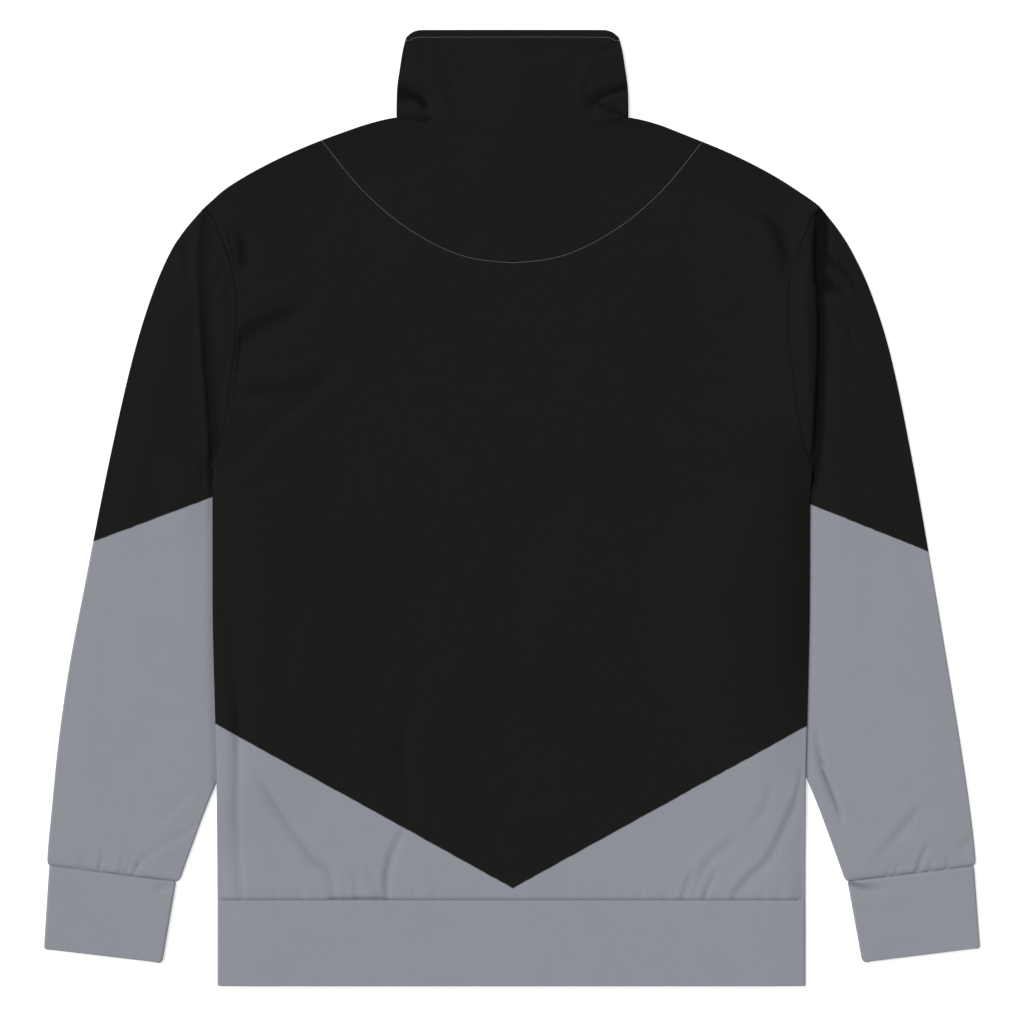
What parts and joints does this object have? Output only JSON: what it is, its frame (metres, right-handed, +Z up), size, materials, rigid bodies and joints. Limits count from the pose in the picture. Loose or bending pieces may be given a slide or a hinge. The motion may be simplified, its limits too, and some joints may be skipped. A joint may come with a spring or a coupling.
{
  "type": "track jacket",
  "caption": "Zip-front track jacket laid flat, back upward: stand collar, set-in sleeves, cuffs and hem band, with a two-tone back and sleeves.",
  "frame": {"origin": "middle of the laid jacket's outline, on the surface it lies on", "axes": "+Z up out of the surface towards the jacket's back, +Y from hem to collar, +X towards the wearer's right sleeve"},
  "size_m": [0.7764, 0.7934, 0.0112],
  "materials": {
    "black_cloth": "brushed knit, soft sheen; grey below the printed border on back, fronts and sleeves",
    "grey_cloth": "brushed knit, soft sheen",
    "zip_tape": "woven tape with moulded black teeth",
    "zip_plastic": "black moulded plastic",
    "zip_metal": "black enamel, satin"
  },
  "bodies": {
    "jacket": {"back": "black_cloth", "front_left": "black_cloth", "front_right": "black_cloth", "sleeve_left": "black_cloth", "sleeve_right": "black_cloth", "collar": "black_cloth", "cuff_left": "grey_cloth", "cuff_right": "grey_cloth", "hem_band": "grey_cloth", "zip_left": "zip_tape", "zip_right": "zip_tape", "zip_slider": "zip_metal", "zip_box": "zip_plastic"},
    "pull": {"zip_pull": "zip_metal"}
  },
  "joints": [
    {"name": "zip_pull_hinge", "type": "hinge", "parent": "jacket", "child": "pull", "pos_m": [0, 0.3303, 0.00285], "axis": [1, 0, 0], "range_deg": [0, 175]}
  ]
}
